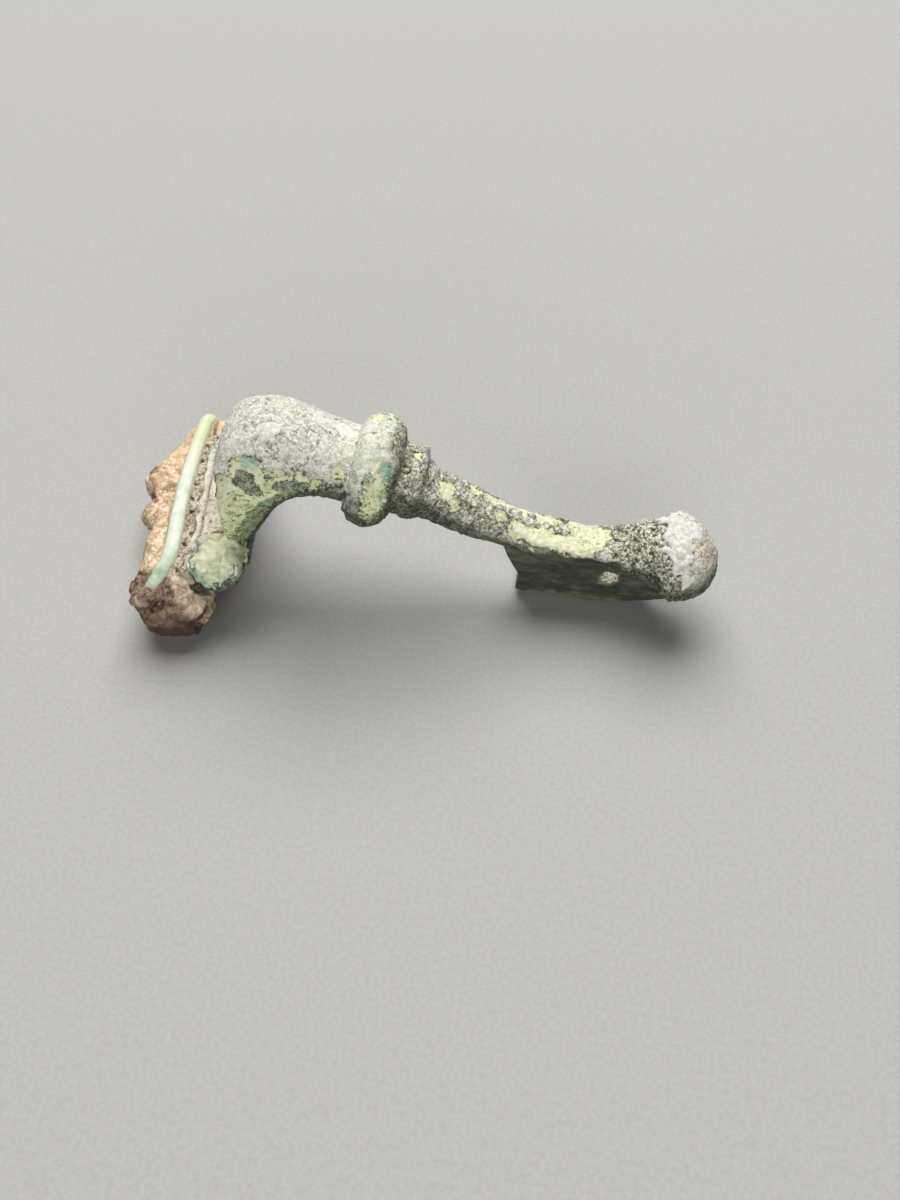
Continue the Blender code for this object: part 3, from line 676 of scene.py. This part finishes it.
# Grey sandy crust: pale above, dark and strongly grained on the sides, below and where it is coarse. The
# paler tops and the darker sides and undersides are painted light and shade; the dark of the coarse crust
# is its own.
CRUST_GREY = (0.60, 0.59, 0.52)
CRUST_GRIME_PAINTED_SHADE = (0.035, 0.040, 0.028)
CRUST_GRIME_AND_SHADE = (0.09, 0.09, 0.068)
CRUST_PALE = (0.95, 0.94, 0.86)
CRUST_PALE_PAINTED_SHADE = (0.15, 0.17, 0.115)
CRUST_PALE_COARSE = (0.88, 0.86, 0.69)
CRUST_DEEP = (0.035, 0.037, 0.028)
COLLAR_DULL = (0.62, 0.66, 0.52)
COLLAR_PALE = (0.93, 0.94, 0.84)
BLOTCH_PAINTED_SHADE = (0.13, 0.16, 0.09)
BROWN_ABOVE = (0.50, 0.42, 0.30)
PINK_DULL = (0.50, 0.40, 0.30)
PINK_PALE = (0.86, 0.74, 0.62)

# Painted shade: the crust's colours, pale and dark alike, go darker on surfaces that face down.
underside_painted_shade = recipe.between(recipe.scaled(broad_blotch, 0.35, painted_top_light), 0.98, 0.25)
grime_and_painted_shade = recipe.sum("MAXIMUM", recipe.times(coarse, 0.8), underside_painted_shade)
grime_and_shade_colour = recipe.mix(painted_top_light, CRUST_GRIME_PAINTED_SHADE, CRUST_GRIME_AND_SHADE)
crust_dark = recipe.mix(grime_and_painted_shade, CRUST_GREY, grime_and_shade_colour)
crust_pale = recipe.mix(underside_painted_shade, CRUST_PALE, CRUST_PALE_PAINTED_SHADE)
crust_pale = recipe.mix(recipe.times(coarse, recipe.times(painted_top_light, 0.8)), crust_pale, CRUST_PALE_COARSE)
crust_colour = recipe.mix(sandy, crust_dark, crust_pale)
collar_colour = recipe.mix(sandy, COLLAR_DULL, COLLAR_PALE)
crust_colour = recipe.mix(recipe.times(collar_top, 0.85), crust_colour, collar_colour)
# Brown blotches on the coarse crust, dark and greenish below: painted shade.
brown_share = recipe.times(recipe.times(coarse, broad_blotch), 0.18)
crust_colour = recipe.mix(brown_share, crust_colour, recipe.mix(painted_top_light, BLOTCH_PAINTED_SHADE, BROWN_ABOVE))
pink_colour = recipe.mix(sandy, PINK_DULL, PINK_PALE)
crust_colour = recipe.mix(recipe.times(pink_end, 0.7), crust_colour, pink_colour)
# Painted shade: the crust is darkened in its hollows, most where it is coarse; it is also darkened along
# its cracks.
deep_share = recipe.times(recipe.between(hollow, 0.53, 0.72), recipe.scaled(coarse, 0.2, 0.60))
deep_share = recipe.sum("MAXIMUM", deep_share, recipe.times(crack, 0.7))
crust_colour = recipe.mix(deep_share, crust_colour, CRUST_DEEP)

# Yellow-green patina under it, with dark green flecks. It is painted paler where it faces up and darker in
# its hollows and towards the underside, where the dark flecks crowd: painted light and shade.
PATINA_DARK = (0.05, 0.10, 0.035)
PATINA_GREEN = (0.46, 0.60, 0.25)
PATINA_YELLOW = (0.95, 0.94, 0.55)
PATINA_PALE = (0.97, 0.96, 0.78)
PATINA_PAINTED_SHADE = (0.07, 0.12, 0.05)
LEAF_GREEN_PAINTED_SHADE = (0.30, 0.46, 0.20)
LEAF_GREEN = (0.74, 0.84, 0.50)
BOSS_DULL = (0.72, 0.78, 0.50)
BOSS_PALE = (0.92, 0.94, 0.70)
TEAL_DARK = (0.16, 0.42, 0.30)
TEAL_PALE = (0.60, 0.82, 0.66)
PIT_DARK = (0.11, 0.135, 0.08)
PIT_GREY = (0.46, 0.50, 0.36)

# The patina's tone rises where it faces up and falls in its hollows: painted light and shade.
curd = recipe.scaled(grain_tone, 0.45, recipe.times(crumb_tone, 0.55))
curd = recipe.scaled(painted_top_light, 0.40, curd)
curd = recipe.scaled(recipe.between(hollow, 0.50, 0.70), -0.45, curd)
patina_colour = recipe.mix(recipe.between(curd, 0.12, 0.36), PATINA_DARK, PATINA_GREEN)
patina_colour = recipe.mix(recipe.between(curd, 0.26, 0.52), patina_colour, PATINA_YELLOW)
patina_colour = recipe.mix(recipe.between(curd, 0.60, 0.95), patina_colour, PATINA_PALE)
leaf_colour = recipe.mix(painted_top_light, LEAF_GREEN_PAINTED_SHADE, LEAF_GREEN)
patina_colour = recipe.mix(recipe.times(broad_blotch, 0.25), patina_colour, leaf_colour)
# Painted shade on surfaces that face down.
painted_shade_below = recipe.times(recipe.between(painted_top_light, 0.10, 0.0), 0.6)
patina_colour = recipe.mix(painted_shade_below, patina_colour, PATINA_PAINTED_SHADE)
nub_colour = recipe.mix(crumb_tone, BOSS_DULL, BOSS_PALE)
patina_colour = recipe.mix(recipe.times(nub, 0.85), patina_colour, nub_colour)
teal_share = recipe.times(recipe.between(recipe.sum("ADD", teal, wobble), 0.42, 0.80), 0.75)
patina_colour = recipe.mix(teal_share, patina_colour, recipe.mix(grain_tone, TEAL_DARK, TEAL_PALE))
pit_share = recipe.between(recipe.scaled(wobble, 0.5, pit), 0.45, 0.55)
patina_colour = recipe.mix(pit_share, patina_colour, recipe.mix(sandy, PIT_DARK, PIT_GREY))

# The plain face of the catchplate, streaked along its length and olive along its lower edge. Its dark
# olive-grey is its own, made darker still by painted shade.
STREAK_SCALE = (0.45, 1.0, 1.1)
STREAK_WIDTH = 1.2 * MM
PLATE_DARK = (0.040, 0.045, 0.034)
PLATE_GREY = (0.115, 0.125, 0.085)
PLATE_OLIVE = (0.26, 0.31, 0.17)
PLATE_GREEN = (0.22, 0.34, 0.16)

lengthwise = recipe.node("Mapping")
recipe.feed(lengthwise.inputs["Vector"], place)
lengthwise.inputs["Scale"].default_value = STREAK_SCALE
streak = recipe.between(recipe.noise(lengthwise.outputs["Vector"], STREAK_WIDTH, 6.0, 0.7), 0.42, 0.66)
plate_colour = recipe.mix(streak, PLATE_DARK, PLATE_GREY)
olive_share = recipe.times(low_edge, recipe.scaled(streak, 0.35, 0.1))
plate_colour = recipe.mix(olive_share, plate_colour, PLATE_OLIVE)
ring_share = recipe.times(recipe.between(teal, 0.5, 0.8), 0.8)
plate_colour = recipe.mix(ring_share, plate_colour, PLATE_GREEN)

# All laid over each other, with the flakes' dark edges, the lines of the crossbar, chalk and soil. The
# flakes' dark edges are partly thin cracks and partly painted shadow under the broken crust.
FLAKE_EDGE = (0.05, 0.06, 0.035)
TAN_DULL = (0.66, 0.57, 0.42)
TAN_PALE = (0.93, 0.86, 0.69)
TAN_HOLLOW = (0.12, 0.10, 0.07)
GROOVE_PAINTED_SHADE = (0.16, 0.14, 0.10)
RIDGE_PALE = (0.90, 0.91, 0.74)
CHALK_DULL = (0.84, 0.83, 0.75)
CHALK_WHITE = (0.97, 0.965, 0.92)
SOIL_DARK = (0.26, 0.21, 0.13)
SOIL_PALE = (0.92, 0.87, 0.72)

jagged = recipe.scaled(wobble, 0.9, flaked)
colour = recipe.mix(recipe.between(jagged, 0.46, 0.54), crust_colour, patina_colour)
edge_line = recipe.times(recipe.between(jagged, 0.38, 0.48), recipe.between(jagged, 0.60, 0.50))
edge_share = recipe.times(recipe.times(edge_line, broad_blotch), 0.85)
colour = recipe.mix(edge_share, colour, FLAKE_EDGE)
colour = recipe.mix(plain_plate, colour, plate_colour)
tan_share = recipe.times(bar_tan, recipe.scaled(sandy, 0.4, 0.5))
colour = recipe.mix(tan_share, colour, recipe.mix(sandy, TAN_DULL, TAN_PALE))
# Painted shade in the crossbar's hollows, in the groove behind its ridge and at the foot of the head's
# mouth.
colour = recipe.mix(recipe.times(recipe.between(hollow, 0.55, 0.75), bar_tan), colour, TAN_HOLLOW)
colour = recipe.mix(recipe.times(groove, 0.55), colour, GROOVE_PAINTED_SHADE)
colour = recipe.mix(recipe.times(light_line, 0.85), colour, RIDGE_PALE)
chalk_share = recipe.between(recipe.sum("ADD", chalk, wobble), 0.44, 0.62)
colour = recipe.mix(chalk_share, colour, recipe.mix(grain_tone, CHALK_DULL, CHALK_WHITE))
colour = recipe.mix(soil, colour, recipe.mix(sandy, SOIL_DARK, SOIL_PALE))
recipe.feed(shader.inputs["Base Color"], colour)
recipe.feed(shader.inputs["Roughness"], recipe.scaled(grain_tone, -0.15, 0.90))
shader.inputs["Specular IOR Level"].default_value = 0.35
sand_height = recipe.scaled(crumb_height, 1.6, recipe.scaled(crack, -0.5, grain_height))
sand_height = recipe.times(sand_height, recipe.scaled(plain_plate, -0.75, 1.0))
recipe.roughen(shader, sand_height, 0.9, BUMP_DEPTH)
dress(bow, bow_material)
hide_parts("bow_with_catchplate")
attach(bow, "root")


# The rusted spring
# Spring coils on an iron axis rod, which has rusted and swollen until coils, rod and soil are one lumpy
# mass. Sandy soil fills the seam between the mass, the chord and the crossbar.
RUST_VOXEL = 0.105 * MM
RUST_RUB_ROUNDS = 24
SEAM_START = -8.3
SEAM_END = 9.1
SEAM_LENGTH = 17.4
SEAM_STEPS = 64
SEAM_TAPER = 0.8
SEAM_BASE = 6.0
SEAM_PROFILE = ((-3.9, 6.0), (-3.75, 7.3), (-3.1, 7.45), (-2.6, 7.6), (-2.25, 7.85), (-2.1, 6.0))
BED_SWELL = 0.30
BED_SINK = 0.55
BED_LUMPS = (
    ((-34.2, -10.9, 6.1), (1.3, 1.1, 1.1)),
    ((-35.1, -9.4, 5.8), (0.8, 1.1, 0.9)),
)
FAR_LUMP = (-37.0, 4.6, 4.8)
FAR_LUMP_HEIGHT = 0.5
BROWN_SPOTS = (
    (-38.0, 1.5, 4.4, 1.9),
    (-37.6, 4.6, 5.0, 0.9),
    (-35.6, -10.0, 5.2, 2.7),
    (-33.4, -9.9, 6.5, 2.3),
    (-36.4, -8.6, 3.5, 2.6),
)


def seam_soil():
    """The strip of soil in the valley between the chord and the crossbar, as a closed mesh."""
    shape = bmesh.new()
    turn = Matrix.Rotation(CROSSBAR_SKEW, 3, "Z")
    pivot = Vector((CROSSBAR_MIDDLE_X, 0.0, 0.0))
    rings = []
    for step in range(SEAM_STEPS + 1):
        y = SEAM_START + SEAM_LENGTH * step / SEAM_STEPS
        end = min(1.0, min(y - SEAM_START, SEAM_END - y) / SEAM_TAPER)
        swell = 0.35 + 0.65 * math.sqrt(max(end, 0.0))
        ring = []
        for across, up in SEAM_PROFILE:
            spot = turn @ Vector((across, y, SEAM_BASE + (up - SEAM_BASE) * swell)) + pivot
            ring.append(shape.verts.new(spot * MM))
        rings.append(ring)
    for ring, following in zip(rings, rings[1:]):
        for index in range(len(ring)):
            beside = (index + 1) % len(ring)
            shape.faces.new((ring[index], following[index], following[beside], ring[beside]))
    shape.faces.new(rings[0])
    shape.faces.new(rings[-1][::-1])
    bmesh.ops.recalc_face_normals(shape, faces=shape.faces)
    mesh = bpy.data.meshes.new("seam")
    shape.to_mesh(mesh)
    shape.free()
    return mesh


def chord_bed():
    """The rust round the chord: the wire's own form, swollen and sunk, with a lump on its near end."""
    shape = bmesh.new()
    shape.from_mesh(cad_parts["spring_chord"].data)
    bmesh.ops.remove_doubles(shape, verts=shape.verts, dist=0.001 * MM)
    shape.normal_update()
    sink = Vector((0.0, 0.0, BED_SINK * MM))
    moved = [vertex.co + vertex.normal * BED_SWELL * MM - sink for vertex in shape.verts]
    for vertex, place in zip(shape.verts, moved):
        vertex.co = place
    for centre, radii in BED_LUMPS:
        lump = bmesh.ops.create_icosphere(shape, subdivisions=3, radius=1.0)["verts"]
        bmesh.ops.scale(shape, vec=Vector(radii) * MM, verts=lump)
        bmesh.ops.translate(shape, vec=Vector(centre) * MM, verts=lump)
    mesh = bpy.data.meshes.new("bed")
    shape.to_mesh(mesh)
    shape.free()
    return mesh


rusted_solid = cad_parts["rusted_spring"].data
rust = even_skin("rusted_mass", [rusted_solid, seam_soil(), chord_bed()], RUST_VOXEL)
skin = Skin(rust)
skin.rub(RUST_RUB_ROUNDS)
points = skin.points.copy()
facing = skin.normals()
x, y, z = points.T
across = (x - CROSSBAR_MIDDLE_X) * math.cos(CROSSBAR_SKEW) + y * math.sin(CROSSBAR_SKEW)
seam = ease(across, -4.2, -3.8) * ease(z, 6.6, 7.1) * ease(9.6 - np.abs(y - 0.4), 0.0, 0.8)
near_ball = ease(-y, 6.6, 8.2)
crag = ease(4.5 - np.abs(y - 1.5), 0.0, 3.0)
height = 0.13 * grain.rough(points, 3.0, 2)
from_nodule = grain.from_seed(points + 0.35 * grain.rough(points, 1.0, 2)[:, None], 1.5)
height += (0.12 + 0.20 * crag) * (1 - seam) * (0.55 - from_nodule)
height += (0.14 + 0.14 * crag) * grain.gnarled(points + 2.0, 1.2, 3) * (1 - 0.5 * seam)
height += 0.05 * fine_grain.gnarled(points, 0.55, 2)
leaves = np.stack([x / 1.9 + 0.3 * z, y / 1.9, z / 0.55], axis=1)
layered = grain.smooth(leaves + 0.4 * grain.rough(points, 1.5, 2)[:, None])
height += near_ball * (0.12 * layered + 0.50 * (np.abs(grain.gnarled(points + 4.0, 2.6, 3)) - 0.35))
chord_points = np.array([vertex.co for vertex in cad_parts["spring_chord"].data.vertices]) * 1000
from_chord = np.full(len(points), 9.0)
for place in np.unique(chord_points, axis=0):
    from_chord = np.minimum(from_chord, np.linalg.norm(points - place, axis=1))
height *= 0.25 + 0.75 * ease(from_chord, 0.5, 1.4)
height += FAR_LUMP_HEIGHT * ease(3.0 - np.linalg.norm(points - FAR_LUMP, axis=1), 0.0, 2.2)
seam_pit = fine_grain.gnarled(points + 5.5, 0.85, 3)
height -= seam * 0.30 * ease(-seam_pit, 0.15, 0.9)
skin.raise_by(height)
skin.points[:, 2] = np.maximum(skin.points[:, 2], 0.0)
relief = skin.relief(14)
broad_relief = skin.relief(60)
brown = inside_spots(points, BROWN_SPOTS) - 0.4 * (1 - near_ball) + 0.8 * grain.gnarled(points, 2.0, 4)
skin.paint("finish", 0.5 + 0.5 * brown, near_ball, seam, ease(y, 0.0, 8.0))
# Painted light and shade: 1 where the rust faces up, less below and on the near ball's low side.
painted_top_light = ease(facing[:, 2], -0.7, 0.9) * (1 - 0.5 * near_ball * ease(3.6 - z, 0.0, 2.0))
skin.paint("painted_shade_and_masks", 0.5 - 3.0 * relief, 0.5 - 0.9 * broad_relief, painted_top_light)
skin.store()
skin.mesh.shade_smooth()

RUST_GRAIN = 0.34 * MM
RUST_CRUMB = 1.0 * MM
ORANGE_DARK_PAINTED_SHADE = (0.10, 0.05, 0.03)
ORANGE_DARK = (0.60, 0.38, 0.22)
ORANGE_PALE_PAINTED_SHADE = (0.46, 0.32, 0.21)
ORANGE_PALE = (0.97, 0.82, 0.62)
ORANGE_BRIGHT = (0.95, 0.70, 0.46)
LUMP_DARK = (0.24, 0.145, 0.09)
LUMP_TAN = (0.88, 0.72, 0.54)
LUMP_PAINTED_SHADE = (0.085, 0.052, 0.04)
BROWN_DARK = (0.05, 0.026, 0.022)
BROWN_PURPLE = (0.30, 0.19, 0.15)
RUST_DEEP = (0.055, 0.032, 0.022)
SEAM_DARK = (0.24, 0.20, 0.14)
SEAM_PALE = (0.70, 0.62, 0.48)
SEAM_DEEP = (0.06, 0.055, 0.04)

rust_material, recipe, shader = new_material("Iron rust and soil")
brown, near_ball, seam, far_end = recipe.attribute("finish")
hollow, broad_hollow, painted_top_light, _ = recipe.attribute("painted_shade_and_masks")
grain_height, grain_tone, _ = add_grain(recipe, RUST_GRAIN)
crumb_height, crumb_tone, broad_blotch = add_grain(recipe, RUST_CRUMB)
sandy = recipe.between(recipe.sum("ADD", grain_tone, crumb_tone), 0.3, 1.7)
# Painted light and shade: the orange rust is paler where it faces up and darker below.
orange_dark = recipe.mix(painted_top_light, ORANGE_DARK_PAINTED_SHADE, ORANGE_DARK)
orange_pale = recipe.mix(painted_top_light, ORANGE_PALE_PAINTED_SHADE, ORANGE_PALE)
colour = recipe.mix(sandy, orange_dark, orange_pale)
# The far end's brighter orange is its own colour, and it is strongest where it faces up: painted light.
colour = recipe.mix(recipe.times(recipe.times(far_end, painted_top_light), 0.5), colour, ORANGE_BRIGHT)
ball_share = recipe.scaled(sandy, 0.30, recipe.times(broad_blotch, 0.70))
ball_colour = recipe.mix(ball_share, LUMP_DARK, LUMP_TAN)
# Painted shade: the near ball is darker below.
painted_shade_below = recipe.between(recipe.scaled(broad_blotch, 0.35, painted_top_light), 0.95, 0.25)
ball_colour = recipe.mix(painted_shade_below, ball_colour, LUMP_PAINTED_SHADE)
colour = recipe.mix(near_ball, colour, ball_colour)
brown_colour = recipe.mix(sandy, BROWN_DARK, BROWN_PURPLE)
colour = recipe.mix(recipe.times(recipe.between(brown, 0.40, 0.70), 0.85), colour, brown_colour)
# Painted shade: the rust is darkened in its hollows, small and broad.
broad_share = recipe.between(broad_hollow, 0.55, 0.80)
deep_share = recipe.sum("MAXIMUM", recipe.between(hollow, 0.55, 0.85), broad_share)
colour = recipe.mix(recipe.times(deep_share, 0.65), colour, RUST_DEEP)
# The sandy soil of the seam, darkened in its pits: painted shade.
seam_colour = recipe.mix(sandy, SEAM_DARK, SEAM_PALE)
seam_colour = recipe.mix(recipe.between(hollow, 0.52, 0.80), seam_colour, SEAM_DEEP)
colour = recipe.mix(seam, colour, seam_colour)
recipe.feed(shader.inputs["Base Color"], colour)
recipe.feed(shader.inputs["Roughness"], recipe.scaled(grain_tone, -0.08, 0.95))
shader.inputs["Specular IOR Level"].default_value = 0.25
recipe.roughen(shader, recipe.scaled(crumb_height, 1.6, grain_height), 0.9, BUMP_DEPTH)
dress(rust, rust_material)
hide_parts("rusted_spring")
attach(rust, "root")


# The spring's chord
# The bronze wire that joins the two halves of the spring, drawn round and laid along the top of the rust
# in front of the crossbar. It is worn smooth, with a pale mint patina.
CHORD_VOXEL = 0.075 * MM
WIRE_RUB_ROUNDS = 90
WIRE_GRAIN = 0.30 * MM
WIRE_BUMP_DEPTH = 0.03 * MM
MINT_DULL = (0.66, 0.78, 0.62)
MINT_PALE = (0.84, 0.90, 0.77)
YELLOW_MINT = (0.76, 0.80, 0.50)
GREEN_STAIN = (0.36, 0.52, 0.33)
WIRE_DIRT = (0.52, 0.47, 0.33)

chord = even_skin("chord", [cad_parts["spring_chord"].data], CHORD_VOXEL)
skin = Skin(chord)
skin.rub(WIRE_RUB_ROUNDS, back=-0.44)
points = skin.points.copy()
skin.raise_by(0.03 * grain.rough(points, 2.2, 2) + 0.012 * fine_grain.rough(points, 0.4, 3) + 0.06)
relief = skin.relief(20)
skin.paint("finish", ease(points[:, 1], 2.0, 8.0), ease(-points[:, 1], 5.8, 8.6), 0.5 - 5.0 * relief)
skin.store()
skin.mesh.shade_smooth()

chord_material, recipe, shader = new_material("Mint patina")
yellow_end, green_end, hollow, _ = recipe.attribute("finish")
grain_height, grain_tone, blotch = add_grain(recipe, WIRE_GRAIN)
colour = recipe.mix(blotch, MINT_DULL, MINT_PALE)
colour = recipe.mix(recipe.times(yellow_end, 0.8), colour, YELLOW_MINT)
colour = recipe.mix(recipe.times(green_end, blotch), colour, GREEN_STAIN)
colour = recipe.mix(recipe.times(recipe.between(hollow, 0.52, 0.7), 0.5), colour, WIRE_DIRT)
recipe.feed(shader.inputs["Base Color"], colour)
recipe.feed(shader.inputs["Roughness"], recipe.scaled(grain_tone, 0.15, 0.45))
recipe.roughen(shader, grain_height, 0.35, WIRE_BUMP_DEPTH)
dress(chord, chord_material)
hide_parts("spring_chord")
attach(chord, "root")


for piece in (bow, chord, rust):
    print(piece.name, "triangles", sum(len(face.vertices) - 2 for face in piece.data.polygons))
